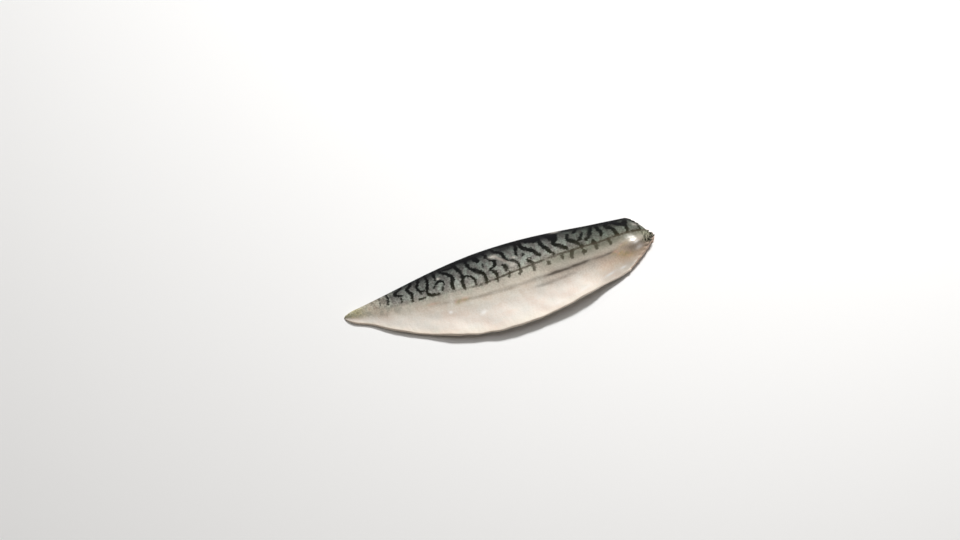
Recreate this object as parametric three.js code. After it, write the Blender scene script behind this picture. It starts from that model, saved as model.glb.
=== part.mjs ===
// A skin-on fish fillet, lying skin side up on its cut side.
//
// It is one solid. Ribs run across it from the back edge to the belly edge, and strakes run along it
// from the tail tip to the cut behind the head. u goes from 0 at the tail to 1 at the head end, and v
// from 0 at the back edge to 1 at the belly edge. Each (u, v) gives one point of the plan, with the
// skin above it and the cut side below it.
//
// Frame: millimetres, +Z up, +X towards the head end, +Y towards the back. The origin is the middle of
// the fillet's box, on the surface that it lies on.

import * as THREE from "three";

// Driving dimensions, in millimetres.
const LENGTH = 245; // tail tip to the foremost point of the head end
const WIDTH = 70; // back edge to belly edge, halfway along
const THICKNESS = 17; // halfway along, from the cut side to the crest of the back
const TAIL_WIDTH = 6;
const TAIL_THICKNESS = 3.6;
const TAIL_ROUND = 9; // length over which the tail closes to its tip
const TAIL_WAIST = 1.6; // how far the tail's stem is drawn in on the belly side
const HEAD_WIDTH = 47.5; // across the cut behind the head
const HEAD_THICKNESS = 11;
const HEAD_RAKE_BACK = 16.5; // how far the back corner of the cut lies behind the foremost point
const HEAD_RAKE_BELLY = 26; // the same for its belly corner
const HEAD_CORNER = 1.8; // how far the belly corner of the cut is rounded off
const HEAD_ROLL = 3; // how far the skin rolls down to meet the cut
const FLAP_EDGE = 3; // thickness of the belly flap at its edge
const FLAP_LIFT = 5.5; // how high the edge of the flap stands off the surface

// How the shape is shared out, as parts of 1.
const AXIS_SHARE = 0.42; // part of the end widths that lies on the back side of the axis
const BACK_BOW_SHARE = 0.27; // part of the middle's extra width that lies on the back side
const CREST = 0.3; // where across the fillet the crest of the back runs
const FLAT = 0.5; // part of the cut side that lies flat, from the back edge
const TAIL_TIP = 0.35; // where across the tail its tip is
const WAIST_AT = 0.085; // where along the fillet the tail's stem is drawn in most
const WAIST_SPAN = 0.04; // over what part of the length
const HEAD_TIP = 0.5; // where across the cut its foremost point is
const ROLL_START = 0.9; // where along the fillet the skin starts to roll down to the cut
const LIFT_FULL = 0.7; // where along the fillet the flap has its full lift

// How finely the surface is faceted.
const RIBS = 44;
const STRAKES = 18;

const mix = THREE.MathUtils.lerp;

// From 0 where the skin starts to roll down to the cut, to 1 at the cut.
const nearHead = (u) => Math.max(0, (u - ROLL_START) / (1 - ROLL_START));

// The two long edges in plan: a straight taper between the end widths, bowed outwards by half a sine
// wave.
const chord = (u) => mix(TAIL_WIDTH, HEAD_WIDTH, u);
const bow = WIDTH - chord(0.5);
const backEdge = (u) =>
  AXIS_SHARE * chord(u) + BACK_BOW_SHARE * bow * Math.sin(Math.PI * u) ** 1.45;
const bellyEdge = (u) =>
  -(1 - AXIS_SHARE) * chord(u) -
  (1 - BACK_BOW_SHARE) * bow * Math.sin(Math.PI * u ** 0.95) ** 1.15 +
  TAIL_WAIST * Math.exp(-(((u - WAIST_AT) / WAIST_SPAN) ** 2)) +
  HEAD_CORNER * nearHead(u) ** 2;

// The head end in plan: a blunt point, straight on the back side and a little round on the belly side.
function headEnd(v) {
  return v < HEAD_TIP
    ? LENGTH - HEAD_RAKE_BACK * (1 - v / HEAD_TIP)
    : LENGTH - HEAD_RAKE_BELLY * ((v - HEAD_TIP) / (1 - HEAD_TIP)) ** 1.3;
}

// From 0 at the tail tip to 1 where the tail has its full section: a quarter circle.
function tailClose(u) {
  const t = Math.min(1, (u * LENGTH) / TAIL_ROUND);
  return Math.sqrt(1 - (1 - t) ** 2);
}

// Height of the crest, and of the flap's underside at its edge.
const crest = (u) =>
  mix(TAIL_THICKNESS, HEAD_THICKNESS, u) +
  (THICKNESS - mix(TAIL_THICKNESS, HEAD_THICKNESS, 0.5)) *
    Math.sin(Math.PI * u) ** 0.9;
const lift = (u) =>
  FLAP_LIFT * Math.sin((Math.PI / 2) * Math.min(1, u / LIFT_FULL)) ** 1.5;

// The cut side: flat from the back edge, then curving up under the flap.
function cutHeight(u, v) {
  const t = Math.max(0, (v - FLAT) / (1 - FLAT));
  return lift(u) * t ** 1.6;
}

// The skin: a quarter of a superellipse from the back edge up to the crest, then a long S down to the
// flap's edge.
function skinHeight(u, v) {
  const high = crest(u) - HEAD_ROLL * nearHead(u) ** 2;
  if (v <= CREST) return high * (1 - (1 - v / CREST) ** 2.2) ** (1 / 2.2);
  const s = (v - CREST) / (1 - CREST);
  const down = 0.5 * s ** 1.5 + 0.25 * (1 - Math.cos(Math.PI * s));
  return mix(high, lift(u) + FLAP_EDGE, down);
}

// One point of the plan, and the heights of both sides over it.
function pointAt(u, v) {
  const close = tailClose(u);
  const across = mix(TAIL_TIP, v, close);
  return {
    x: u * headEnd(v),
    y: mix(backEdge(u), bellyEdge(u), across),
    cut: close * cutHeight(u, v),
    skin: close * skinHeight(u, v),
  };
}

// Ribs crowd together at the tail and strakes at the back edge, where the surface turns fastest.
const ribAt = (i) => mix(i / RIBS, (i / RIBS) ** 2, 0.35);
const strakeAt = (j) => mix(j / STRAKES, (j / STRAKES) ** 2, 0.6);

function filletGeometry() {
  const positions = [];
  const index = [];
  const seen = new Map();

  // A vertex for a point and its height. Points that fall together share one, which closes the tail
  // and the back edge.
  function vertex(p, z) {
    const key = [p.x, p.y, z].map((n) => n.toFixed(3)).join();
    if (!seen.has(key)) {
      seen.set(key, positions.length / 3);
      positions.push(p.x, p.y, z);
    }
    return seen.get(key);
  }

  function triangle(a, b, c) {
    if (a !== b && b !== c && c !== a) index.push(a, b, c);
  }

  // A patch between two rows of vertices, seen from outside with the second row above the first.
  function strip(low, high) {
    for (let i = 0; i + 1 < low.length; i++) {
      triangle(low[i], low[i + 1], high[i + 1]);
      triangle(low[i], high[i + 1], high[i]);
    }
  }

  const points = Array.from({ length: RIBS + 1 }, (_, i) =>
    Array.from({ length: STRAKES + 1 }, (_, j) => pointAt(ribAt(i), strakeAt(j))),
  );
  const skin = points.map((rib) => rib.map((p) => vertex(p, p.skin)));
  const cut = points.map((rib) => rib.map((p) => vertex(p, p.cut)));
  const along = (rows, j) => rows.map((rib) => rib[j]);

  for (let j = 0; j < STRAKES; j++) {
    strip(along(skin, j + 1), along(skin, j));
    strip(along(cut, j), along(cut, j + 1));
  }
  strip(along(cut, STRAKES), along(skin, STRAKES)); // the edge of the flap
  strip(cut[RIBS].slice().reverse(), skin[RIBS].slice().reverse()); // the cut behind the head

  const geometry = new THREE.BufferGeometry();
  geometry.setAttribute("position", new THREE.Float32BufferAttribute(positions, 3));
  geometry.setIndex(index);

  // The box's middle goes to the origin. The cut side is at height 0 already.
  geometry.computeBoundingBox();
  const middle = geometry.boundingBox.getCenter(new THREE.Vector3());
  geometry.translate(-middle.x, -middle.y, 0);
  geometry.computeVertexNormals();
  return geometry;
}

const fillet = new THREE.Mesh(
  filletGeometry(),
  new THREE.MeshStandardMaterial({ color: 0x9a9c94, roughness: 0.38, metalness: 0.1 }),
);
fillet.name = "fillet";

const root = new THREE.Group();
root.add(fillet);

export default root;
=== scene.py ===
# %% [markdown]
# # A mackerel fillet, lying skin side up
# One side of a mackerel, cut from the bone and left in its skin. The back is dark, with black
# bars. Below a thin dark line along the flank the skin turns silver, and then nearly white at the
# belly. The fillet grew as one piece, so it is one closed surface here too. The design gives its
# place and its outer size, and everything below follows them.

# %% Load the design
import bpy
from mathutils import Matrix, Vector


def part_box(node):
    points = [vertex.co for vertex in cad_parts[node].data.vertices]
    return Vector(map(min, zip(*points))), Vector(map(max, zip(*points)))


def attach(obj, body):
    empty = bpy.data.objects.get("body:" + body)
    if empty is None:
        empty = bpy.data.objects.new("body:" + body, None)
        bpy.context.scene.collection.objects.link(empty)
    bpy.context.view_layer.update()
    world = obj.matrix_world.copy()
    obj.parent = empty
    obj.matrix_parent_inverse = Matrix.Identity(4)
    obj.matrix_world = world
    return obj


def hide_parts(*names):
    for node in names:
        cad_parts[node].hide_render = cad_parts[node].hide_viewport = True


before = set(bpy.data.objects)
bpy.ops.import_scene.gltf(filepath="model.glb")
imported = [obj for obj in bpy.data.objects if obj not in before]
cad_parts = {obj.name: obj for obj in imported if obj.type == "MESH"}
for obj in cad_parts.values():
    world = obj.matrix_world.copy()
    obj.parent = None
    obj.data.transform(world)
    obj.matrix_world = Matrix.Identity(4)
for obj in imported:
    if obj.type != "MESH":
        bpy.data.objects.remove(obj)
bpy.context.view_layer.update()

from types import SimpleNamespace

import bmesh
import bpy
import numpy as np
from mathutils import Matrix

low, high = (np.array(corner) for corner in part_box("fillet"))
length, width, thickness = high - low
middle = (low + high) / 2
mm = 0.001
print("the design is", [round(side / mm, 1) for side in (length, width, thickness)], "mm")

# %% [markdown]
# # Camera
# A camera is a place, a direction and a lens. A long lens from well back shows the fish without
# stretching its near end. The camera looks down steeply from the belly side, so the whole flank
# faces it. The target lies beyond the back, which leaves the fillet a little low in the picture
# with white space round it.

# %% Set the camera
scene = bpy.context.scene


def direction(azimuth, elevation):
    """Unit vector at these angles in degrees: (sin a cos e, -cos a cos e, sin e)."""
    a, e = np.radians(azimuth), np.radians(elevation)
    return np.array([np.sin(a) * np.cos(e), -np.cos(a) * np.cos(e), np.sin(e)])


def stand(thing, target, azimuth, elevation, distance):
    """Puts a camera or a lamp at target + distance * direction, turned to look back at the target."""
    away = direction(azimuth, elevation)
    across = direction(azimuth + 90, 0)
    above = np.cross(away, across)
    place = target + distance * away
    turned = np.column_stack([across, above, away, place])
    thing.matrix_world = Matrix([*turned.tolist(), (0, 0, 0, 1)])
    scene.collection.objects.link(thing)
    print(thing.name, "stands at", np.round(place, 3))


camera_azimuth = -17.3
camera_elevation = 60.5
camera_distance = 7.094 * length
target = np.array([middle[0] - 0.05 * length, middle[1] + 0.304 * width, low[2]])

camera = bpy.data.objects.new("camera", bpy.data.cameras.new("camera"))
camera.data.lens = 85
camera.data.sensor_width = 36
stand(camera, target, camera_azimuth, camera_elevation, camera_distance)
scene.camera = camera

# %% [markdown]
# # Light
# Wet skin needs two kinds of light. A wide soft lamp overhead lights the fish evenly, and leaves
# the hollow under the raised belly edge dark. A small lamp behind the fish and to the right draws
# a clear shadow towards the camera. The Standard view keeps colours as they are mixed, where the
# default one greys them.

# %% Set the lamps and the surroundings
scene.view_settings.view_transform = "Standard"


def lamp(name, size, energy, azimuth, elevation, distance):
    """A round lamp of this size in metres and power in watts, aimed at the middle of the fish."""
    light = bpy.data.lights.new(name, "AREA")
    light.shape = "DISK"
    light.size = size
    light.energy = energy
    light.color = (1.0, 0.985, 0.96)
    stand(bpy.data.objects.new(name, light), middle, azimuth, elevation, distance)


behind = camera_azimuth + 180
lamp("small_lamp", size=0.30, energy=34, azimuth=behind - 21, elevation=46, distance=1.8)
lamp("wide_lamp", size=1.4, energy=4.5, azimuth=behind, elevation=70, distance=1.1)

surroundings = bpy.data.worlds.new("surroundings")
surroundings.use_nodes = True
background = surroundings.node_tree.nodes["Background"]
background.inputs["Color"].default_value = (1.0, 0.88, 0.75, 1)
background.inputs["Strength"].default_value = 0.12
scene.world = surroundings

# %% [markdown]
# # Floor
# The floor is plain and nearly white. It could be a white backdrop that curves up behind the
# fish, but the camera looks down so steeply that a flat sheet fills the picture.

# %% Lay the floor
floor_material = bpy.data.materials.new("pale_floor")
floor_material.use_nodes = True
floor_shader = floor_material.node_tree.nodes["Principled BSDF"]
floor_shader.inputs["Base Color"].default_value = (0.81, 0.825, 0.845, 1)
floor_shader.inputs["Roughness"].default_value = 0.6

reach = 25 * length
sides = np.array([(-1, -1), (1, -1), (1, 1), (-1, 1)]) * reach
floor_mesh = bpy.data.meshes.new("floor")
floor_mesh.from_pydata([(x, y, low[2]) for x, y in sides], [], [(0, 1, 2, 3)])
floor_mesh.materials.append(floor_material)
floor = bpy.data.objects.new("floor", floor_mesh)
scene.collection.objects.link(floor)
print("the floor is", round(2 * reach, 1), "m wide")

# %% [markdown]
# # The outline
# A fillet seen from above is a long leaf. It could be drawn as a curve through many points, but
# two formulas say it more clearly: the straight taper from the tail to the cut behind the head,
# and half a sine wave that bows each edge outwards. Two numbers place any point: u runs from 0 at
# the tail to 1 at the head end, and v from 0 at the back edge to 1 at the belly edge. Four small
# functions help to shape everything: a straight mix, a smooth rise, a bell and random waves.

# %% Helpers for shapes


def mix(a, b, t):
    """The straight line from a, where t is 0, to b, where t is 1."""
    return a + (b - a) * t


def rise(t, start, end):
    """0 before start, 1 after end, and the smooth step 3s^2 - 2s^3 between them."""
    s = np.clip((t - start) / (end - start), 0, 1)
    return s * s * (3 - 2 * s)


def bell(t, centre, span):
    """1 at the centre and e^-1 at one span from it: e to the power -((t - centre) / span)^2."""
    return np.exp(-(((t - centre) / span) ** 2))


def waves(x, y, wavelength, seed, count=9):
    """Unevenness of about -1 to 1: seeded sine waves of about this length in random directions."""
    random = np.random.default_rng(seed)
    turn, phase = random.uniform(0, 2 * np.pi, (2, count))
    number = 2 * np.pi / wavelength * random.uniform(0.7, 1.4, count)
    along = x[..., None] * np.cos(turn) + y[..., None] * np.sin(turn)
    return np.sin(along * number + phase).sum(-1) / np.sqrt(count)


print("rise is", [round(float(rise(t, 0, 1)), 2) for t in (0, 0.25, 0.5, 0.75, 1)])

# %% [markdown]
# # The two long edges
# The tail's stem is drawn in on the belly side, and the belly edge wavers a little, as cut skin
# does. It bulges a little where the flap stands highest.

# %% Shape the long edges
tail_width = 6 * mm
head_width = 47.5 * mm  # across the cut behind the head
full_width = 0.981 * width  # halfway along
back_share = 0.42  # part of the taper on the back side
bow_share = 0.27  # part of the bow on the back side
stem_waist, stem_at, stem_span = 1.6 * mm, 0.085, 0.04  # how the tail's stem is drawn in
corner_round = 1.8 * mm  # how far the belly corner of the head end is rounded off
roll_start = 0.9  # where the skin starts to roll down to the cut behind the head
hump_at, hump_span = 0.79, 0.085  # where the flap stands highest, and over what part


def chord(u):
    """Width of the straight taper."""
    return mix(tail_width, head_width, u)


bow = full_width - chord(0.5)


def near_head(u):
    """0 until the skin starts to roll down to the cut behind the head, and 1 at that cut."""
    return np.maximum(0, (u - roll_start) / (1 - roll_start))


def flap_hump(u):
    """A bell from 0 to 1 over the stretch where the flap stands highest."""
    return bell(u, hump_at, hump_span)


def back_edge(u):
    """The back edge: its share of the taper, and its share of the bow as a narrow half sine."""
    return back_share * chord(u) + bow_share * bow * np.abs(np.sin(np.pi * u)) ** 1.45


def belly_edge(u):
    """The rest of the taper and the bow, drawn in at the stem and the head's corner, bulging at the hump."""
    stem = stem_waist * bell(u, stem_at, stem_span)
    corner = corner_round * near_head(u) ** 2
    wavy = 0.25 * mm * waves(u * length, 0 * u, 22 * mm, seed=3) * rise(u, 0.1, 0.3)
    wavy = wavy - 0.8 * mm * flap_hump(u)
    bowed = (1 - bow_share) * bow * np.abs(np.sin(np.pi * u**0.95)) ** 1.15
    return stem + corner + wavy - (1 - back_share) * chord(u) - bowed


halfway = np.array([0.5])
print("halfway along it is", np.round((back_edge(halfway) - belly_edge(halfway)) / mm, 1), "mm wide")

# %% [markdown]
# # The two ends
# The head end is a blunt point, because the knife goes in behind the gill on a slant. At the tail
# a quarter circle closes the outline to a round tip. The outline is then moved so that its middle
# is the design's.

# %% Shape the ends
head_reach = length + 0.8 * mm  # to the foremost point
head_rake_back = 16.5 * mm  # how far the back corner lies behind that point
head_rake_belly = 26 * mm  # the same for the belly corner
tail_round = 9 * mm  # length over which the tail closes to its tip
tip_across = 0.35  # where across the tail its tip is


def head_end(v):
    """How far the head end reaches: a blunt point, straight on the back side, round on the other."""
    back_side = head_rake_back * np.maximum(0, 1 - v / 0.5)
    belly_side = head_rake_belly * np.maximum(0, v / 0.5 - 1) ** 1.3
    return head_reach - back_side - belly_side


def tail_close(u):
    """0 at the tail tip and 1 from tail_round on: a quarter circle, which rounds the tip."""
    return np.sqrt(1 - (1 - np.minimum(1, u * length / tail_round)) ** 2)


def plan(u, v):
    """Where (u, v) lies, seen from above: x is u times the head end, y runs between the edges."""
    across = mix(tip_across, v, tail_close(u))
    return u * head_end(v), mix(back_edge(u), belly_edge(u), across)


trial_u, trial_v = np.meshgrid(np.linspace(0, 1, 401), np.linspace(0, 1, 201), indexing="ij")
trial = np.stack(plan(trial_u, trial_v))
to_middle = middle[:2] - (trial.min((1, 2)) + trial.max((1, 2))) / 2
print("the outline is", np.round(np.ptp(trial, axis=(1, 2)) / mm, 1), "mm")

# %% [markdown]
# # The skin side
# The skin rises steeply from the back edge, like a quarter of a barrel, and falls in a long slope
# to the flap. Real skin is never smooth: the muscle below it lies in leaf-shaped blocks that show
# through, and the flesh slumps a little. Those are millimetre shapes that catch the light, so
# they are modelled and not painted.

# %% Shape the skin side
flap_edge = 2.4 * mm  # thickness of the belly flap at its edge
flap_lift = 5.8 * mm  # how high that edge stands off the floor, but for the hump
tail_thickness = 3.6 * mm
crest_rise = 13.7 * mm  # from the tail's crest to the highest one
crest_fall = 2.1 * mm  # from there to the cut behind the head
crest_peak = 0.58  # where along the fillet the crest is highest
middle_seam = 0.43  # where across the fillet the bone was
block_length = 5.6 * mm


def crest(u, v):
    """Height of the crest: a quarter sine from the tail, less a slow square fall and, at the head,
    the roll down to the cut, which is deeper on the belly side."""
    grown = tail_thickness + crest_rise * np.sin(np.pi / 2 * np.minimum(1, u / crest_peak)) ** 0.95
    fallen = crest_fall * (np.maximum(0, u - crest_peak) / (1 - crest_peak)) ** 2
    rolled = mix(5.0, 7.2, rise(v, 0.1, 0.4)) * mm * near_head(u) ** 2
    return grown - fallen - rolled


def lift(u):
    """How high the flap's edge stands: a quarter sine squared, sinking again at the head, and a hump."""
    raised = flap_lift * np.sin(np.pi / 2 * np.minimum(1, u / 0.7)) ** 2
    return raised * (1 - 0.75 * rise(u, 0.85, 1)) + 1.5 * mm * flap_hump(u)


def flank_line(u):
    """Where the thin line runs along the flank: 0.48 across at the tail, sliding to 0.40 at the head."""
    return 0.48 - 0.08 * rise(u, 0.38, 0.72)


def blocks(u, v):
    """Count of muscle blocks from the tail: x over the block length, zigzag across like a lying W."""
    x, _ = plan(u, v)
    zigzag = 7 * mm * np.abs(v - middle_seam) / 0.25 - 10 * mm * rise(v, 0.62, 0.95)
    zigzag = zigzag - 9 * mm * rise(0.2 - v, 0.0, 0.2)
    return (x - zigzag) / block_length


def skin_relief(u, v):
    """How far the skin stands off its smooth shape: slumps of 40 mm, dents of 13 mm, valleys between
    the muscle blocks, the groove of the flank line, and a fold at the head."""
    x, y = plan(u, v)
    slump = 0.35 * mm * waves(x, y, 40 * mm, seed=11)
    dents = 0.10 * mm * waves(x, y, 13 * mm, seed=12)
    uneven = blocks(u, v) + 0.35 * waves(x, y, 25 * mm, seed=13)
    valley = -0.05 * mm * bell(uneven % 1, 0.5, 0.2) * rise(v, 0.3, 0.6)
    line = -0.22 * mm * bell((v - flank_line(u)) * width, 0, 0.8 * mm) * rise(u, 0.30, 0.45)
    fold = 2.0 * mm * bell(u, 0.948, 0.031) * bell(v, 0.593, 0.072)
    return (slump + dents + valley + line) * rise(v, 0.0, 0.12) * rise(u, 0.01, 0.08) + fold


def top(u, v):
    """The skin: a quarter superellipse up to the crest, then an S down to the flap, and the relief."""
    crest_at = 0.3 + 0.14 * rise(u, 0.7, 0.95)
    up = crest(u, v) * (1 - (1 - np.minimum(v, crest_at) / crest_at) ** 2.2) ** (1 / 2.2)
    s = np.maximum(0, (v - crest_at) / (1 - crest_at))
    down = 0.5 * s**1.5 + 0.25 * (1 - np.cos(np.pi * s))
    return tail_close(u) * mix(up, lift(u) + flap_edge, down) + skin_relief(u, v)


print("the skin is", round(float(top(trial_u, trial_v).max()) / mm, 1), "mm high")

# %% [markdown]
# # The cut side
# The fish lies on its cut side. That is flat under the back and curls up under the belly flap,
# because the thin flap is stiffer than it is heavy. Nobody sees this side at rest, but it is
# finished all the same: thin grooves where the white sheets between the muscle blocks end, a
# deeper one where the bone was, and the hollow wall of the belly.

# %% Shape the cut side


def uneven_blocks(u, v):
    """The count of muscle blocks, made uneven by waves of 18 mm."""
    return blocks(u, v) + 0.3 * waves(*plan(u, v), 18 * mm, seed=13)


def uneven_across(u, v):
    """The place across, made uneven by waves of 9 mm, so that the belly's wall starts on a torn line."""
    return v + 0.02 * waves(*plan(u, v), 9 * mm, seed=21)


def underside(u, v):
    """The cut side: flat to halfway across, curling up by the lift, with grooves carved into it."""
    curl = lift(u) * np.maximum(0, (v - 0.5) / 0.5) ** 1.6
    x, y = plan(u, v)
    seam = 0.12 * mm * bell(uneven_blocks(u, v) % 1, 0.5, 0.14)
    seam = seam * (1 + 0.7 * waves(x, y, 11 * mm, seed=24))
    groove = 0.9 * mm * bell((v - middle_seam) * width, 0, 1.3 * mm) * rise(u, 0.3, 0.45)
    hollow = 0.45 * mm * rise(uneven_across(u, v), 0.6, 0.64) * rise(u, 0.42, 0.5)
    torn = 0.25 * mm * (1 + waves(x, y, 5 * mm, seed=22)) / 2
    torn = np.maximum(0, torn * rise(v, 0.5, 0.62) * rise(u, 0.35, 0.5))
    carved = (seam + groove + hollow + torn) * rise(v, 0.0, 0.06) * rise(1 - v, 0, 0.08)
    return tail_close(u) * (curl + carved * rise(u, 0.02, 0.08))


print("the flap stands", round(float(underside(trial_u, trial_v).max()) / mm, 1), "mm off the floor")

# %% [markdown]
# # One closed surface
# The fillet is a soft block with three numbers in it: u along, v across and w up through it. Its
# outer faces are the skin at w = 1, the cut side at w = 0, the edge of the flap at v = 1 and the
# cut behind the head at u = 1. Each face is a grid with two of the numbers running and the third
# held. Neighbouring grids meet in the same points, so welding doubles closes the surface. At the
# back edge and at the tail tip the block has no height, and the weld closes those.

# %% Work out the four faces
ribs, strakes, layers = 421, 112, 7
along_rows = mix(np.linspace(0, 1, ribs), np.linspace(0, 1, ribs) ** 1.5, 0.3)
across_rows = mix(np.linspace(0, 1, strakes), np.linspace(0, 1, strakes) ** 2, 0.4)
up_rows = 0.5 - 0.5 * np.cos(np.pi * np.linspace(0, 1, layers))


def fillet_point(u, v, w):
    """The block's point (u, v, w). The flap's edge and the head's cut bulge by a half ellipse, and
    the cut is ragged, most of all at its blunt point."""
    x, y = plan(u, v)
    under = underside(u, v)
    z = under + w * np.maximum(0, top(u, v) - under)
    bulge = 2 * np.sqrt(np.maximum(0, w * (1 - w)))
    ragged = (0.2 + bell(v, 0.53, 0.1)) * mm * waves(v * width, 1.5 * z, 4.5 * mm, seed=31)
    flakes = 0.5 * mm * waves(v * width, z, 4 * mm, seed=32)
    x = x + ragged * rise(u, 0.975, 1) + (u == 1) * bulge * (0.9 * mm + flakes) * rise(v, 0, 0.08)
    y = y - (v == 1) * bulge * 0.8 * mm * tail_close(u)
    return np.stack([x + to_middle[0], y + to_middle[1], z + low[2]], axis=-1)


def grid(u, v, w):
    """A face of the block: two of the numbers run, as a column and a row, and the third is held."""
    u, v, w = np.broadcast_arrays(u, v, w)
    return {"u": u, "v": v, "w": w, "points": fillet_point(u, v, w)}


faces = {
    "skin": grid(along_rows[:, None], across_rows, 1.0),
    "cut_side": grid(along_rows[:, None], across_rows, 0.0),
    "flap_edge": grid(along_rows[:, None], 1.0, up_rows),
    "head_cut": grid(1.0, across_rows[:, None], up_rows),
}
u, v, w = (np.concatenate([face[letter].ravel() for face in faces.values()]) for letter in "uvw")
points = np.concatenate([face["points"].reshape(-1, 3) for face in faces.values()])
print({name: face["points"].shape[:2] for name, face in faces.items()}, len(points), "points")

# %% [markdown]
# # The bars
# A mackerel's back carries wavy black bars, each about as wide as a pencil lead is thick, a
# finger's breadth apart. They could come from a noise pattern, but noise gives even stripes, and
# these fork, hook back and stop. So each bar is drawn: its half width in millimetres, and a few
# points of its middle line as shares along and across.

# %% Draw the bars
bars = [
    (0.6, [(0.098, 0.05), (0.096, 0.20), (0.094, 0.33)]),
    (0.7, [(0.124, 0.05), (0.121, 0.22), (0.116, 0.38)]),
    (1.0, [(0.152, 0.05), (0.147, 0.20), (0.147, 0.28), (0.143, 0.35), (0.140, 0.42)]),
    (1.3, [(0.206, 0.00), (0.200, 0.10), (0.187, 0.15), (0.173, 0.20),
           (0.178, 0.26), (0.190, 0.30)]),
    (1.0, [(0.187, 0.31), (0.183, 0.41)]),
    (1.4, [(0.240, 0.00), (0.237, 0.09), (0.227, 0.15), (0.214, 0.20),
           (0.221, 0.31), (0.219, 0.37), (0.215, 0.45)]),
    (1.3, [(0.268, 0.00), (0.262, 0.10), (0.254, 0.17), (0.244, 0.24),
           (0.248, 0.31), (0.250, 0.36)]),
    (0.9, [(0.248, 0.315), (0.258, 0.335), (0.268, 0.345)]),
    (0.7, [(0.236, 0.450), (0.255, 0.455)]),
    (1.4, [(0.290, 0.00), (0.287, 0.14), (0.283, 0.22), (0.267, 0.36),
           (0.269, 0.41), (0.280, 0.445), (0.298, 0.455)]),
    (1.2, [(0.318, 0.00), (0.312, 0.14), (0.310, 0.24)]),
    (1.1, [(0.292, 0.35), (0.299, 0.32), (0.309, 0.29), (0.322, 0.29),
           (0.328, 0.32), (0.322, 0.37), (0.313, 0.42)]),
    (1.6, [(0.340, 0.00), (0.337, 0.15), (0.353, 0.22), (0.360, 0.27),
           (0.357, 0.32), (0.349, 0.38), (0.346, 0.45)]),
    (1.2, [(0.345, 0.13), (0.378, 0.15)]),
    (1.6, [(0.388, 0.00), (0.386, 0.17), (0.392, 0.25), (0.389, 0.32),
           (0.381, 0.40), (0.378, 0.47)]),
    (1.1, [(0.392, 0.32), (0.404, 0.325), (0.415, 0.35), (0.420, 0.39), (0.416, 0.46)]),
    (1.6, [(0.430, 0.00), (0.424, 0.18), (0.426, 0.25), (0.440, 0.31),
           (0.453, 0.35), (0.456, 0.40), (0.448, 0.475)]),
    (2.6, [(0.462, 0.00), (0.456, 0.12), (0.458, 0.19)]),
    (1.0, [(0.470, 0.24), (0.463, 0.29)]),
    (1.5, [(0.494, 0.00), (0.490, 0.16), (0.496, 0.22), (0.505, 0.27),
           (0.496, 0.315), (0.479, 0.345)]),
    (1.3, [(0.482, 0.365), (0.491, 0.39), (0.487, 0.43), (0.482, 0.49)]),
    (1.6, [(0.518, 0.00), (0.524, 0.12), (0.539, 0.18), (0.541, 0.24), (0.537, 0.285)]),
    (1.1, [(0.543, 0.29), (0.555, 0.31), (0.567, 0.35), (0.566, 0.40),
           (0.560, 0.46), (0.552, 0.49)]),
    (1.6, [(0.522, 0.34), (0.528, 0.365), (0.523, 0.40)]),
    (1.2, [(0.528, 0.44), (0.519, 0.480)]),
    (1.3, [(0.606, 0.00), (0.600, 0.12), (0.588, 0.20), (0.579, 0.275)]),
    (0.7, [(0.601, 0.275), (0.592, 0.295)]),
    (1.3, [(0.609, 0.35), (0.604, 0.37), (0.609, 0.41), (0.601, 0.485)]),
    (1.6, [(0.630, 0.00), (0.613, 0.14), (0.614, 0.20), (0.634, 0.265), (0.644, 0.34)]),
    (3.0, [(0.625, 0.07), (0.645, 0.11), (0.665, 0.14)]),
    (1.6, [(0.690, 0.00), (0.680, 0.12), (0.671, 0.20), (0.674, 0.27), (0.681, 0.345)]),
    (1.3, [(0.656, 0.445), (0.653, 0.470)]),
    (1.0, [(0.686, 0.37), (0.680, 0.40)]),
    (3.0, [(0.705, 0.08), (0.720, 0.13), (0.712, 0.17)]),
    (1.6, [(0.748, 0.00), (0.738, 0.11), (0.724, 0.19), (0.706, 0.26),
           (0.719, 0.30), (0.732, 0.355)]),
    (1.2, [(0.706, 0.42), (0.699, 0.455)]),
    (1.4, [(0.741, 0.41), (0.733, 0.44), (0.725, 0.485)]),
    (1.5, [(0.768, 0.18), (0.755, 0.25), (0.766, 0.29), (0.775, 0.34)]),
    (1.1, [(0.777, 0.315), (0.790, 0.285), (0.803, 0.25), (0.813, 0.205)]),
    (1.3, [(0.779, 0.375), (0.774, 0.41)]),
    (1.4, [(0.774, 0.445), (0.769, 0.475)]),
    (1.2, [(0.838, 0.00), (0.825, 0.06), (0.812, 0.11), (0.790, 0.17)]),
    (1.3, [(0.872, 0.05), (0.858, 0.13), (0.842, 0.20), (0.828, 0.26), (0.806, 0.32)]),
    (1.6, [(0.822, 0.365), (0.816, 0.395)]),
    (1.3, [(0.820, 0.41), (0.812, 0.47)]),
    (1.2, [(0.885, 0.06), (0.876, 0.14), (0.869, 0.22), (0.867, 0.27), (0.857, 0.315)]),
    (1.2, [(0.864, 0.40), (0.858, 0.47)]),
    (1.5, [(0.945, 0.00), (0.925, 0.09), (0.905, 0.15), (0.900, 0.21),
           (0.908, 0.27), (0.902, 0.32), (0.899, 0.385)]),
    (3.6, [(0.922, 0.11), (0.942, 0.09), (0.968, 0.05)]),
    (2.4, [(0.930, 0.12), (0.939, 0.19), (0.951, 0.22), (0.964, 0.19), (0.976, 0.14)]),
    (1.1, [(0.953, 0.22), (0.951, 0.28), (0.942, 0.34), (0.933, 0.385)]),
    (0.9, [(1.000, 0.05), (0.997, 0.18), (0.991, 0.29), (0.982, 0.37),
           (0.970, 0.39), (0.950, 0.395)]),
]
print(len(bars), "bars with", sum(len(line) for _, line in bars), "points")

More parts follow.
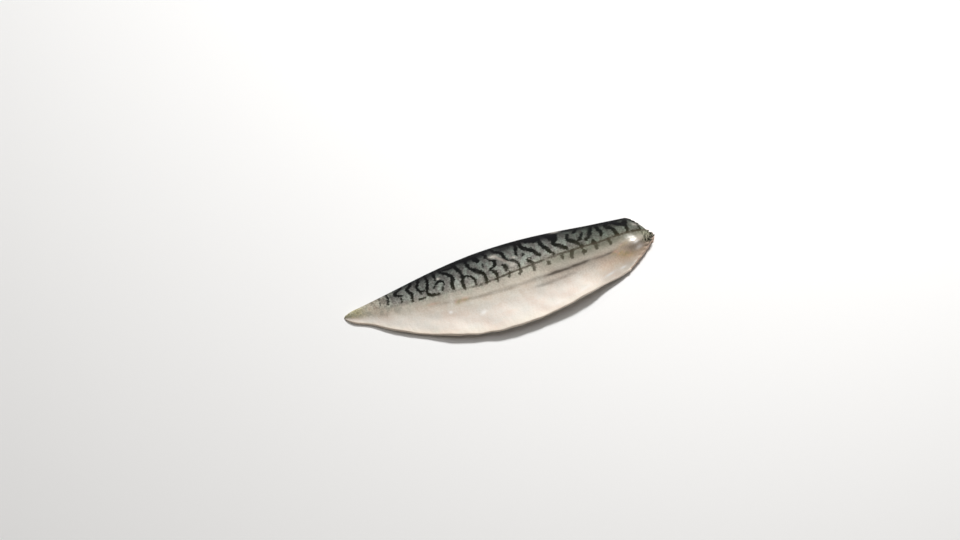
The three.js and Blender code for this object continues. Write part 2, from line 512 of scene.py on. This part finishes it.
# %% [markdown]
# # Distance to the bars
# A smooth curve goes through the points of each bar. For every point of the fillet the distance
# to the nearest bar's edge is then stored on the mesh, because a stored distance stays sharp when
# the material cuts it off, where a stored colour would blur.

# %% Measure the distance to the bars
far_off = 1.0  # metres, further than any place on the fillet


def smooth_line(points, steps):
    """Catmull-Rom curve: on each stretch a cubic whose slopes follow the neighbours on each side."""
    p = np.array(points)
    p = np.concatenate([[2 * p[0] - p[1]], p, [2 * p[-1] - p[-2]]])
    t = np.linspace(0, 1, steps, endpoint=False)[:, None]
    before = (-t + 2 * t**2 - t**3) / 2
    start = (2 - 5 * t**2 + 3 * t**3) / 2
    end = (t + 4 * t**2 - 3 * t**3) / 2
    after = (t**3 - t**2) / 2
    stretches = [
        before * a + start * b + end * c + after * d
        for a, b, c, d in zip(p[:-3], p[1:-2], p[2:-1], p[3:])
    ]
    return np.concatenate(stretches + [p[-2:-1]])


def gap_to_line(places, line, half_width):
    """Distance from each place to a line, less a half width that shrinks to 0.6 of itself at the ends."""
    share = np.linspace(0, 1, len(line))
    half = half_width * (0.6 + 0.4 * np.sqrt(np.sin(np.pi * np.clip(share, 0.02, 0.98))))
    gap = np.full(len(places), far_off)
    for a, b, half_a, half_b in zip(line[:-1], line[1:], half[:-1], half[1:]):
        t = np.clip((places - a) @ (b - a) / ((b - a) @ (b - a)), 0, 1)
        distance = np.linalg.norm(places - a - t[:, None] * (b - a), axis=1)
        gap = np.minimum(gap, distance - mix(half_a, half_b, t))
    return gap


def gap_to_lines(places, lines):
    """Distance to the nearest of several drawn lines, in millimetres, below 0 inside one."""
    gap = np.full(len(places), far_off)
    for half_width, line_points in lines:
        line = smooth_line(line_points, steps=3)
        line = fillet_point(line[:, 0], line[:, 1], 1.0)
        gap = np.minimum(gap, gap_to_line(places, line, half_width * mm))
    return gap / mm


bar_gap = gap_to_lines(points, bars)
print("the bars cover", round(float((bar_gap[w == 1] < 0).mean()), 3), "of the skin's points")

# %% [markdown]
# # Spots on the skin
# Between and below the bars the skin carries softer marks: spots where the silver has a bronze
# tinge, worn spots where the scales are gone, some of which are painted glints, white spots that
# are painted highlights, spots where it is wet or dark, and one scratch. Each spot is five numbers:
# its place along and across, how long and how wide it is, and how strong.

# %% Place the spots
bronze_places = [
    (0.270, 0.575, 0.022, 0.020, 0.6),
    (0.350, 0.620, 0.012, 0.035, 0.8),
    (0.372, 0.605, 0.014, 0.030, 0.8),
    (0.872, 0.620, 0.014, 0.030, 0.7),
    (0.897, 0.665, 0.014, 0.030, 1.0),
    (0.920, 0.705, 0.016, 0.034, 0.9),
    (0.945, 0.740, 0.018, 0.038, 0.7),
    (0.900, 0.560, 0.020, 0.035, 0.5),
]
# Worn spots where the scales are gone; several of them are painted glints, small highlights painted in
# grey-white.
worn_and_painted_glint_places = [
    (0.331, 0.590, 0.007, 0.075, 1.3),
    (0.318, 0.235, 0.005, 0.014, 1.2),
    (0.568, 0.283, 0.008, 0.010, 1.0),
    (0.608, 0.350, 0.003, 0.008, 1.0),
    (0.510, 0.200, 0.012, 0.022, 0.9),
    (0.550, 0.360, 0.010, 0.022, 0.7),
    (0.748, 0.065, 0.014, 0.022, 0.6),
    (0.985, 0.260, 0.010, 0.040, 0.5),
]
# Painted highlights: white glints on the belly and flank, and the core and trail of the highlight near the
# head, painted into the colour.
painted_highlight_places = [
    (0.327, 0.730, 0.006, 0.017, 1.4),
    (0.433, 0.785, 0.009, 0.019, 1.4),
    (0.700, 0.935, 0.018, 0.020, 0.5),
    (0.800, 0.920, 0.018, 0.020, 0.6),
    (0.895, 0.895, 0.020, 0.020, 1.2),
    (0.945, 0.885, 0.011, 0.018, 1.2),
    (0.945, 0.592, 0.009, 0.026, 0.8),
    (0.966, 0.665, 0.013, 0.030, 0.6),
]
wet_places = [
    (0.934, 0.535, 0.020, 0.060, 1.7),
    (0.960, 0.630, 0.012, 0.045, 0.7),
    (0.317, 0.235, 0.004, 0.014, 1.0),
    (0.512, 0.205, 0.010, 0.020, 0.7),
    (0.748, 0.070, 0.012, 0.018, 0.3),
]
dark_places = [
    (0.470, 0.130, 0.030, 0.040, 0.6),
    (0.545, 0.150, 0.018, 0.035, 0.7),
    (0.665, 0.110, 0.030, 0.060, 0.8),
    (0.715, 0.130, 0.025, 0.060, 0.8),
    (0.925, 0.110, 0.022, 0.090, 1.1),
    (0.950, 0.210, 0.014, 0.040, 0.8),
]
scratches = [
    (0.9, [(0.515, 0.205), (0.523, 0.25), (0.533, 0.29), (0.546, 0.35)]),
]


def spots(u, v, places):
    """Sum of round spots, each its strength times a bell along and a bell across, kept within 0 to 1."""
    found = sum(
        strength * bell(u, along, long) * bell(v, across, wide)
        for along, across, long, wide, strength in places
    )
    return np.clip(found, 0, 1)


spot_lists = (bronze_places, worn_and_painted_glint_places, painted_highlight_places, wet_places, dark_places)
print(sum(len(places) for places in spot_lists), "spots and", len(scratches), "scratch")

# %% [markdown]
# # Marks along the flank and on the flesh
# Two grey streaks follow the flank line, and broad tints lie over the ground. The flesh has marks
# too: the count of muscle blocks, the brown band along the middle, the belly's wall with its rib
# marks, and the rings of muscle on the cut behind the head. Each mark is a number for every
# point, worked out from u, v and w, and the material decides its colour. The one called flank is
# 0 at the back edge, 0.47 on the flank line and 1 at the belly edge.

# %% Work out the marks
line = flank_line(u)
x, y = plan(u, v)
high_share = 0.45 * rise(u, 0.2, 0.4) + 0.65 * rise(u, 0.60, 0.67) * rise(0.79 - u, 0, 0.03)
high_share = (high_share + 0.95 * bell(u, 0.845, 0.018)) * rise(0.90 - u, 0, 0.05)
streak_at = 0.605 - 0.02 * rise(u, 0.4, 0.65) + 0.015 * rise(u, 0.78, 0.83)
low_share = 0.5 * rise(u, 0.58, 0.64) * rise(0.76 - u, 0, 0.06)
band_width = mix(0.11, 0.05, rise(u, 0.2, 0.8))
chest_start = rise(uneven_across(u, v), 0.60, 0.66) * rise(u - 0.15 * (1 - v), 0.34, 0.44)
upper_ring, lower_ring = (
    np.hypot((v - centre) * head_width, (w - 0.45) * thickness) for centre in (0.24, 0.62)
)
marks = {
    "along": u,
    "flank": np.where(v < line, 0.47 * v / line, 0.47 + 0.53 * (v - line) / (1 - line)),
    "bar_gap": bar_gap,
    "scratch_gap": gap_to_lines(points, scratches),
    "line_gap": np.abs(v - line) * (back_edge(u) - belly_edge(u)) / mm,
    "streak": high_share * bell(v, streak_at, 0.02) + low_share * bell(v, 0.67, 0.018),
    "dusk": rise(u, 0.66, 0.84) * np.exp(-(((v - 0.27) / 0.20) ** 4)),
    "silver": rise(u, 0.56, 0.72) * bell(v, 0.45, 0.075),
    "grey": rise(u, 0.54, 0.72) * bell(v, 0.61, 0.11),
    "tan": rise(u, 0.74, 0.93) * bell(v, 0.74, 0.15),
    "torn": rise(u, 0.955, 0.978) * rise(0.12 - np.abs(v - 0.52), 0, 0.05),
    "bronze": spots(u, v, bronze_places),
    "dark": spots(u, v, dark_places),
    # Worn spots, partly real scuffs and partly painted glints.
    "worn_and_painted_glint": spots(u, v, worn_and_painted_glint_places),
    # pale: painted highlights, white glints painted into the skin colour.
    "pale": spots(u, v, painted_highlight_places),
    "wet": spots(u, v, wet_places),
    "sheet": uneven_blocks(u, v),
    "band": bell(v, middle_seam, band_width),
    "chest": chest_start * rise(0.995 - u, 0, 0.01),
    "rib_mark": (x + 0.45 * y) / (8 * mm) + 0.35 * waves(x, y, 24 * mm, seed=23),
    "ring": np.minimum(upper_ring, lower_ring) / (2.6 * mm),
    "end": rise(u, 0.999, 1),
    "border": rise(w, 0.80, 0.95) * rise(u, 0.999, 1) * rise(v, 0.75, 0.6),
    "rim": rise(v, 0.975, 0.995),
}
for name, numbers in marks.items():
    print(name, "from", round(float(numbers.min()), 2), "to", round(float(numbers.max()), 2))

# %% [markdown]
# # Put the mesh together
# The four grids go into one mesh, each with its stored numbers and its own part of the texture
# map: the skin gets one half and the cut side the other, with the two narrow faces in strips
# between. The weld then joins them.

# %% Helpers for the mesh
weld_distance = 0.002 * mm
map_places = {
    "skin": lambda face: (face["u"], mix(0.99, 0.53, face["v"])),
    "cut_side": lambda face: (face["u"], mix(0.01, 0.43, face["v"])),
    "flap_edge": lambda face: (face["u"], mix(0.45, 0.47, face["w"])),
    "head_cut": lambda face: (face["v"], mix(0.485, 0.515, face["w"])),
}


def quads(rows, columns, first):
    """The four corners of each cell: a point, the next one across, the one opposite, the next along."""
    corner = first + np.arange(rows - 1)[:, None] * columns + np.arange(columns - 1)
    return np.stack([corner, corner + 1, corner + columns + 1, corner + columns], axis=-1).reshape(-1, 4)


def lay_map(mesh, faces):
    """The texture map: each corner of a cell gets the place of its point in its face's part."""
    parts = [np.stack(map_places[name](face), axis=-1).reshape(-1, 2) for name, face in faces.items()]
    corner = np.empty(len(mesh.loops), np.int32)
    mesh.loops.foreach_get("vertex_index", corner)
    layer = mesh.uv_layers.new(name="OFBake")
    layer.uv.foreach_set("vector", np.concatenate(parts)[corner].astype(np.float32).ravel())


def weld(mesh):
    """Joins points that fall together, turns all cells outwards, and counts edges left open."""
    work = bmesh.new()
    work.from_mesh(mesh)
    bmesh.ops.remove_doubles(work, verts=work.verts, dist=weld_distance)
    bmesh.ops.recalc_face_normals(work, faces=work.faces)
    open_edges = sum(not edge.is_manifold for edge in work.edges)
    print(open_edges, "open edges,", round(work.calc_volume() * 1e6, 1), "cm3")
    work.to_mesh(mesh)
    work.free()


print("points closer than", round(weld_distance / mm, 3), "mm will be joined")

# %% [markdown]
# # Build the fillet
# Building is then a short list of steps: points and cells, which of the two finishes each cell
# wears, the stored numbers, the map, and the weld. Smooth shading hides the cells, and edges
# sharper than the crease angle stay crisp.

# %% Build and weld
skin_slot, flesh_slot = 0, 1
crease_angle = 50  # degrees


def build(name, faces, marks):
    """One object from the grids: points, cells, finishes, stored numbers and map, then the weld."""
    sizes = [face["points"].shape[:2] for face in faces.values()]
    starts = np.cumsum([0] + [rows * columns for rows, columns in sizes])
    cells = [quads(rows, columns, start) for (rows, columns), start in zip(sizes, starts)]
    mesh = bpy.data.meshes.new(name)
    mesh.from_pydata(points, [], np.concatenate(cells))
    slots = [skin_slot if face == "skin" else flesh_slot for face in faces]
    slots = np.repeat(slots, [len(cell) for cell in cells])
    mesh.polygons.foreach_set("material_index", slots.astype(np.int32))
    for mark, numbers in marks.items():
        stored_mark = mesh.attributes.new(mark, "FLOAT", "POINT")
        stored_mark.data.foreach_set("value", numbers.astype(np.float32))
    lay_map(mesh, faces)
    weld(mesh)
    mesh.shade_smooth()
    mesh.set_sharp_from_angle(angle=np.radians(crease_angle))
    thing = bpy.data.objects.new(name, mesh)
    scene.collection.objects.link(thing)
    return thing


fillet = build("fillet_skin_and_flesh", faces, marks)
print(fillet.name, "has", len(fillet.data.polygons), "faces")

# %% [markdown]
# # Small tools for materials
# A material is a little machine of boxes and wires. A few short helpers place the boxes that are
# used again and again, so each material below reads as a recipe.

# %% Helpers for sums


def plug(tree, source, socket):
    """Wires an output into the socket, or writes a plain value into it."""
    if isinstance(source, bpy.types.NodeSocket):
        tree.links.new(source, socket)
    else:
        socket.default_value = source


def stored(tree, name):
    """The number stored on the mesh under this name."""
    node = tree.nodes.new("ShaderNodeAttribute")
    node.attribute_name = name
    return node.outputs["Fac"]


def maths(tree, operation, *values):
    """One sum of up to three values: ADD, SUBTRACT, MULTIPLY, MINIMUM and so on."""
    node = tree.nodes.new("ShaderNodeMath")
    node.operation = operation
    for value, socket in zip(values, node.inputs):
        plug(tree, value, socket)
    return node.outputs[0]


def times(tree, product, *factors):
    """The product of all the values."""
    for factor in factors:
        product = maths(tree, "MULTIPLY", product, factor)
    return product


def scaled(tree, value, by, plus):
    """value * by + plus."""
    return maths(tree, "MULTIPLY_ADD", value, by, plus)


def centred(tree, pattern):
    """A pattern round 0.5, moved to lie round 0."""
    return maths(tree, "SUBTRACT", pattern, 0.5)


def step(tree, value, start, end):
    """0 at start and 1 at end, smooth between. Start may be above end."""
    node = tree.nodes.new("ShaderNodeMapRange")
    node.interpolation_type = "SMOOTHSTEP"
    plug(tree, value, node.inputs["Value"])
    plug(tree, start, node.inputs["From Min"])
    plug(tree, end, node.inputs["From Max"])
    return node.outputs["Result"]


def stripes(tree, count, start, end):
    """Lines halfway through each unit of the count: a step on the distance from the half."""
    from_half = maths(tree, "ABSOLUTE", centred(tree, maths(tree, "FRACT", count)))
    return step(tree, from_half, start, end)


# %% [markdown]
# A noise pattern is a cloud of light and dark patches. It reads the place on the piece itself, so
# it stays put when the piece moves.

# %% Helper for cloudy patterns


def noise(tree, size, detail, stretch=(1, 1, 1), seed=0.0):
    """Cloudy pattern of about this size in metres, around 0.5. Stretch makes it longer along an axis."""
    place = tree.nodes.new("ShaderNodeTexCoord").outputs["Object"]
    turn = tree.nodes.new("ShaderNodeMapping")
    turn.inputs["Location"].default_value = (seed, seed, seed)
    turn.inputs["Scale"].default_value = [1 / (size * s) for s in stretch]
    tree.links.new(place, turn.inputs["Vector"])
    node = tree.nodes.new("ShaderNodeTexNoise")
    node.inputs["Scale"].default_value = 1.0
    node.inputs["Detail"].default_value = detail
    tree.links.new(turn.outputs["Vector"], node.inputs["Vector"])
    return node.outputs["Fac"]


# %% [markdown]
# Colours are laid like paint. A ramp turns a number into a colour, a layer goes over the one
# below it by a share, and a bump tilts the surface where a pattern is too fine to model.

# %% Helpers for colours and relief


def grey(level):
    """A neutral colour."""
    return (level, level, level)


def shades(tree, value, stops):
    """Colour by value: a ramp through (place, (red, green, blue)) stops."""
    node = tree.nodes.new("ShaderNodeValToRGB")
    ramp = node.color_ramp
    while len(ramp.elements) < len(stops):
        ramp.elements.new(0.5)
    for element, (place, colour) in zip(ramp.elements, stops):
        element.position = place
        element.color = (*colour, 1)
    plug(tree, value, node.inputs["Fac"])
    return node.outputs["Color"]


def over(tree, share, under, top_colour, how="MIX"):
    """Lays a colour over another one, by its share."""
    node = tree.nodes.new("ShaderNodeMix")
    node.data_type = "RGBA"
    node.blend_type = how
    plug(tree, share, node.inputs[0])
    for colour, socket in ((under, node.inputs[6]), (top_colour, node.inputs[7])):
        plug(tree, colour if isinstance(colour, bpy.types.NodeSocket) else (*colour, 1), socket)
    return node.outputs[2]


def bump(tree, height, depth):
    """The surface's direction, tilted by a height pattern that is depth metres deep."""
    node = tree.nodes.new("ShaderNodeBump")
    node.inputs["Strength"].default_value = 1.0
    node.inputs["Distance"].default_value = depth
    tree.links.new(height, node.inputs["Height"])
    return node.outputs["Normal"]


def new_material(name):
    """An empty material, its tree and its main shader."""
    material = bpy.data.materials.new(name)
    material.use_nodes = True
    return material, material.node_tree, material.node_tree.nodes["Principled BSDF"]


# %% [markdown]
# # Skin: the ground
# The colours go from the back to the belly: slate green, grey, a greenish silver at the flank
# line, and a warm near-white. One number, flank, says where a point lies between them, and a
# cloudy pattern shifts it a little so that no shade ends on a ruled line. At the tail the skin is
# drab and pale. Four tints deepen the part near the head, and a mottling of two sizes stands for
# the scales.

# %% Skin: patterns and ground
tints = {
    "dusk": (0.44, 0.46, 0.43),
    "silver": (0.55, 0.57, 0.54),
    "grey": (0.59, 0.57, 0.56),
    "tan": (0.80, 0.70, 0.60),
}


def skin_patterns(tree):
    """What all layers of the skin draw on: the place along and on the flank, clouds of three sizes, and
    the fringe, which frays the edges of marks by about a millimetre."""
    grain = noise(tree, 1.3 * mm, 3, seed=5)
    return SimpleNamespace(
        along=stored(tree, "along"),
        flank=stored(tree, "flank"),
        cloud=noise(tree, 9 * mm, 4, (1.6, 1, 1)),
        patch=noise(tree, 4 * mm, 3, (1, 1.3, 1), seed=8),
        grain=grain,
        fringe=times(tree, centred(tree, grain), 2.2),
    )


def tail_ground(tree, skin, shifted, ground):
    """Over the ground, near the tail: a drab stem with an olive tip, and murky patches further along."""
    stem = shades(tree, shifted, [(0.05, (0.31, 0.285, 0.235)), (0.40, (0.590, 0.535, 0.443))])
    stem = over(tree, step(tree, skin.along, 0.09, 0.03), stem, (0.480, 0.450, 0.290))
    tail = times(tree, step(tree, skin.along, 0.17, 0.08), step(tree, skin.flank, 0.9, 0.5))
    ground = over(tree, tail, ground, stem)
    murk = times(tree, step(tree, skin.patch, 0.44, 0.60), step(tree, skin.along, 0.24, 0.12), 0.5)
    murk = times(tree, murk, step(tree, skin.flank, 0.80, 0.55))
    return over(tree, murk, ground, (0.270, 0.275, 0.240))


def skin_ground(tree, skin):
    """Colour by place from back to belly, the tail, a pearly belly, the tints and the mottling."""
    shifted = scaled(tree, centred(tree, skin.cloud), 0.10, skin.flank)
    ground = shades(tree, shifted, [
        (0.00, (0.045, 0.068, 0.070)),
        (0.07, (0.035, 0.038, 0.036)),
        (0.15, (0.085, 0.088, 0.080)),
        (0.28, (0.175, 0.178, 0.158)),
        (0.38, (0.290, 0.290, 0.255)),
        (0.45, (0.370, 0.355, 0.300)),
        (0.50, (0.490, 0.457, 0.385)),
        (0.58, (0.630, 0.585, 0.508)),
        (0.68, (0.732, 0.680, 0.608)),
        (0.80, (0.870, 0.806, 0.742)),
        (0.92, (0.940, 0.885, 0.820)),
        (1.00, (0.960, 0.880, 0.780)),
    ])
    sage = shades(tree, skin.patch, [(0.38, (1.00, 0.97, 1.03)), (0.62, (0.89, 0.98, 1.01))])
    ground = over(tree, step(tree, skin.flank, 0.62, 0.40), ground, sage, "MULTIPLY")
    ground = tail_ground(tree, skin, shifted, ground)

    pearl = shades(tree, skin.cloud, [
        (0.35, (1.0, 0.955, 0.94)),
        (0.50, (1.0, 1.0, 1.0)),
        (0.65, (0.94, 0.97, 0.98)),
    ])
    ground = over(tree, step(tree, skin.flank, 0.50, 0.65), ground, pearl, "MULTIPLY")
    for mark, tint in tints.items():
        ground = over(tree, stored(tree, mark), ground, tint, "MULTIPLY")

    back = step(tree, skin.flank, 0.54, 0.42)
    blotch = shades(tree, skin.patch, [(0.33, grey(0.28)), (0.67, grey(0.72))])
    ground = over(tree, times(tree, back, 0.7), ground, blotch, "OVERLAY")
    speckle = shades(tree, step(tree, skin.grain, 0.3, 0.7), [(0, grey(0.25)), (1, grey(0.75))])
    return over(tree, scaled(tree, back, 0.35, 0.22), ground, speckle, "OVERLAY")


# %% [markdown]
# # Skin: the black
# The black bars lie over the ground. Their edges wander a little, because each dark scale pocket
# is separate, and they fade towards the tail. The ridge of the back is nearly black all along,
# and dark smudges fill some of the gaps between bars.

# %% Skin: bars, ridge and smudges


def black_marks(tree, skin, colour):
    """Over the colour: the bars where the wandering gap is below 0, the ridge and the smudges."""
    wander = times(tree, centred(tree, noise(tree, 3.2 * mm, 2, seed=2)), 2.6)
    gap = maths(tree, "ADD", maths(tree, "ADD", stored(tree, "bar_gap"), wander), skin.fringe)
    gap = scaled(tree, step(tree, skin.along, 0.50, 0.62), -0.3, gap)
    strength = times(tree, step(tree, skin.along, 0.05, 0.17), scaled(tree, skin.patch, 0.6, 0.72))
    foot = scaled(tree, step(tree, skin.flank, 0.42, 0.50), -0.2, 1.0)
    strength = maths(tree, "MINIMUM", times(tree, strength, foot), 1.0)
    ink = shades(tree, skin.flank, [
        (0.00, (0.004, 0.004, 0.005)),
        (0.30, (0.008, 0.009, 0.008)),
        (0.42, (0.022, 0.022, 0.014)),
        (0.50, (0.050, 0.045, 0.028)),
    ])
    colour = over(tree, times(tree, step(tree, gap, 0.8, -0.7), strength), colour, ink)

    ridge = step(tree, scaled(tree, skin.cloud, 0.14, skin.flank), 0.29, 0.15)
    edge = scaled(tree, step(tree, skin.flank, 0.02, 0.08), 0.75, 0.25)
    ridge = times(tree, ridge, edge, step(tree, skin.along, 0.12, 0.4))
    colour = over(tree, ridge, colour, (0.008, 0.008, 0.009))
    smudge = times(tree, stored(tree, "dark"), scaled(tree, skin.patch, 1.0, 0.35))
    return over(tree, maths(tree, "MINIMUM", smudge, 0.95), colour, (0.008, 0.008, 0.010))


# %% [markdown]
# # Skin: the soft marks
# Over the bars come the flank line, the grey streaks and the bronze, which noise breaks up so
# that they look worn. The shredded point of the cut is olive with black shreds. Worn spots and
# the scratch show the pale skin under the scales. Some of the worn spots are painted glints, and
# the pale spots are painted highlights, white glints painted into the colour.

# %% Skin: line, streaks, bronze, worn places and painted highlights


def soft_marks(tree, skin, colour):
    """Over the colour, in turn: line, streaks, bronze, torn point, worn places and painted glints, painted
    highlights and the scratch.
    """
    line_gap = maths(tree, "ADD", stored(tree, "line_gap"), times(tree, skin.fringe, 0.5))
    line = times(tree, step(tree, line_gap, 1.5, 0.2), step(tree, skin.along, 0.34, 0.46))
    line = times(tree, line, step(tree, skin.patch, 0.25, 0.5), 0.85)
    colour = over(tree, line, colour, (0.060, 0.050, 0.035))
    long_cloud = noise(tree, 4 * mm, 3, (3, 1, 1), seed=7)
    streak = times(tree, stored(tree, "streak"), scaled(tree, long_cloud, 2.0, -0.15))
    colour = over(tree, maths(tree, "MINIMUM", streak, 0.9), colour, (0.085, 0.072, 0.060))

    bronze = shades(tree, noise(tree, 3 * mm, 2, seed=15), [
        (0.38, (0.30, 0.24, 0.11)),
        (0.52, (0.50, 0.36, 0.17)),
        (0.64, (0.62, 0.34, 0.25)),
    ])
    tinge = times(tree, stored(tree, "bronze"), scaled(tree, skin.grain, 1.0, 0.15))
    colour = over(tree, tinge, colour, bronze)

    torn = stored(tree, "torn")
    colour = over(tree, times(tree, torn, 0.6), colour, (0.300, 0.300, 0.220))
    shreds = step(tree, noise(tree, 0.9 * mm, 2, (1, 3, 1), seed=12), 0.55, 0.45)
    colour = over(tree, times(tree, torn, shreds), colour, (0.018, 0.018, 0.010))

    # Worn spots in grey-white: some are real scuffs, some are painted glints.
    worn_and_painted_glint = times(tree, stored(tree, "worn_and_painted_glint"), skin.grain, 1.2)
    colour = over(tree, worn_and_painted_glint, colour, (0.72, 0.68, 0.62))
    # Painted highlights: the pale spots lay near-white glints over the colour.
    colour = over(tree, times(tree, stored(tree, "pale"), 0.9), colour, (1.0, 0.98, 0.96))
    scratch = step(tree, maths(tree, "ADD", stored(tree, "scratch_gap"), skin.fringe), 1.2, -0.9)
    scratch = times(tree, scratch, scaled(tree, skin.grain, 0.8, 0.2))
    return over(tree, scratch, colour, (0.36, 0.32, 0.29))


# %% [markdown]
# # Skin: the finish
# The skin is matt where it has dried, and it shines only where it is still wet. So the stored wet
# mark lowers the roughness and brings in a thin clear coat. A fine bump stands for the scales.

# %% Skin material


def skin_material():
    """Ground, black and soft marks as the colour, gloss where the skin is wet, and the scales' relief."""
    material, tree, shader = new_material("wet_mackerel_skin")
    skin = skin_patterns(tree)
    colour = skin_ground(tree, skin)
    colour = black_marks(tree, skin, colour)
    colour = soft_marks(tree, skin, colour)
    tree.links.new(colour, shader.inputs["Base Color"])

    wet = stored(tree, "wet")
    rough = scaled(tree, wet, -0.55, scaled(tree, skin.grain, 0.3, 0.5))
    tree.links.new(rough, shader.inputs["Roughness"])
    tree.links.new(wet, shader.inputs["Coat Weight"])
    shader.inputs["Coat Roughness"].default_value = 0.28
    shader.inputs["Specular IOR Level"].default_value = 0.02

    fine = noise(tree, 0.5 * mm, 2, seed=9)
    scales = maths(tree, "ADD", skin.grain, times(tree, fine, 0.5))
    tree.links.new(bump(tree, scales, 0.12 * mm), shader.inputs["Normal"])
    return material


wet_skin = skin_material()
print(wet_skin.name, "has", len(wet_skin.node_tree.nodes), "nodes")

# %% [markdown]
# # Flesh
# Raw mackerel flesh is a pale pinkish tan, and its muscle blocks are parted by thin white sheets
# that show as zigzag lines. Along the middle runs the dark muscle, reddish brown. The wall of the
# belly cavity is paler and greyer, with the slanting marks of the ribs. The stored numbers say
# where each of these lies, and noise frays them.

# %% Flesh material


def muscle(tree, cloud, strands, fray):
    """Pink tan ground with strands, the brown band, and white sheets, which are rings on the cut end."""
    ground = shades(tree, cloud, [
        (0.30, (0.60, 0.39, 0.29)),
        (0.50, (0.72, 0.53, 0.41)),
        (0.70, (0.82, 0.67, 0.55)),
    ])
    fibres = shades(tree, strands, [(0.3, grey(0.3)), (0.7, grey(0.7))])
    colour = over(tree, 0.3, ground, fibres, "OVERLAY")
    band = step(tree, scaled(tree, fray, 0.9, stored(tree, "band")), 0.35, 0.9)
    colour = over(tree, times(tree, band, 0.7), colour, (0.30, 0.12, 0.07))

    count = stored(tree, "sheet")
    to_ring = times(tree, maths(tree, "SUBTRACT", stored(tree, "ring"), count), stored(tree, "end"))
    count = scaled(tree, fray, 0.5, maths(tree, "ADD", count, to_ring))
    sheet = times(tree, stripes(tree, count, 0.12, 0.02), step(tree, cloud, 0.38, 0.68), 0.5)
    return over(tree, sheet, colour, (0.90, 0.80, 0.70))


def chest_wall(tree, cloud, fray):
    """The pale grey wall of the belly with slanting rib marks."""
    wall = over(tree, cloud, (0.62, 0.53, 0.46), (0.84, 0.76, 0.68))
    rib = stripes(tree, scaled(tree, fray, 0.2, stored(tree, "rib_mark")), 0.16, 0.04)
    rib = times(tree, rib, step(tree, cloud, 0.35, 0.60), 0.4)
    return over(tree, rib, wall, (0.46, 0.32, 0.26))


def flesh_material():
    """Muscle, the chest wall over it, pale edges, the cut end's dark border, and a moist grain."""
    material, tree, shader = new_material("raw_mackerel_flesh")
    cloud = noise(tree, 7 * mm, 4, (1.8, 1, 1), seed=3)
    strands = noise(tree, 1.6 * mm, 3, (2.5, 1, 1), seed=4)
    grain = noise(tree, 1.1 * mm, 3, seed=6)
    fray = centred(tree, strands)
    colour = muscle(tree, cloud, strands, fray)
    colour = over(tree, times(tree, stored(tree, "chest"), 0.93), colour, chest_wall(tree, cloud, fray))
    colour = over(tree, times(tree, stored(tree, "rim"), 0.8), colour, (0.84, 0.76, 0.66))
    colour = over(tree, stored(tree, "border"), colour, (0.020, 0.020, 0.014))
    tree.links.new(colour, shader.inputs["Base Color"])

    tree.links.new(scaled(tree, grain, 0.3, 0.35), shader.inputs["Roughness"])
    shader.inputs["Specular IOR Level"].default_value = 0.3
    moist = maths(tree, "ADD", grain, strands)
    tree.links.new(bump(tree, moist, 0.2 * mm), shader.inputs["Normal"])
    return material


raw_flesh = flesh_material()
print(raw_flesh.name, "has", len(raw_flesh.node_tree.nodes), "nodes")

# %% [markdown]
# # Finish the fillet
# The mesh takes its two finishes in the order of its slots, skin first. The fillet then rides on
# the design's one body, and the design's plain solid is hidden, because the fillet stands in for it.

# %% Finish the fillet
fillet.data.materials.append(wet_skin)
fillet.data.materials.append(raw_flesh)
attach(fillet, "root")
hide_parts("fillet")
print(fillet.name, "wears", [material.name for material in fillet.data.materials])
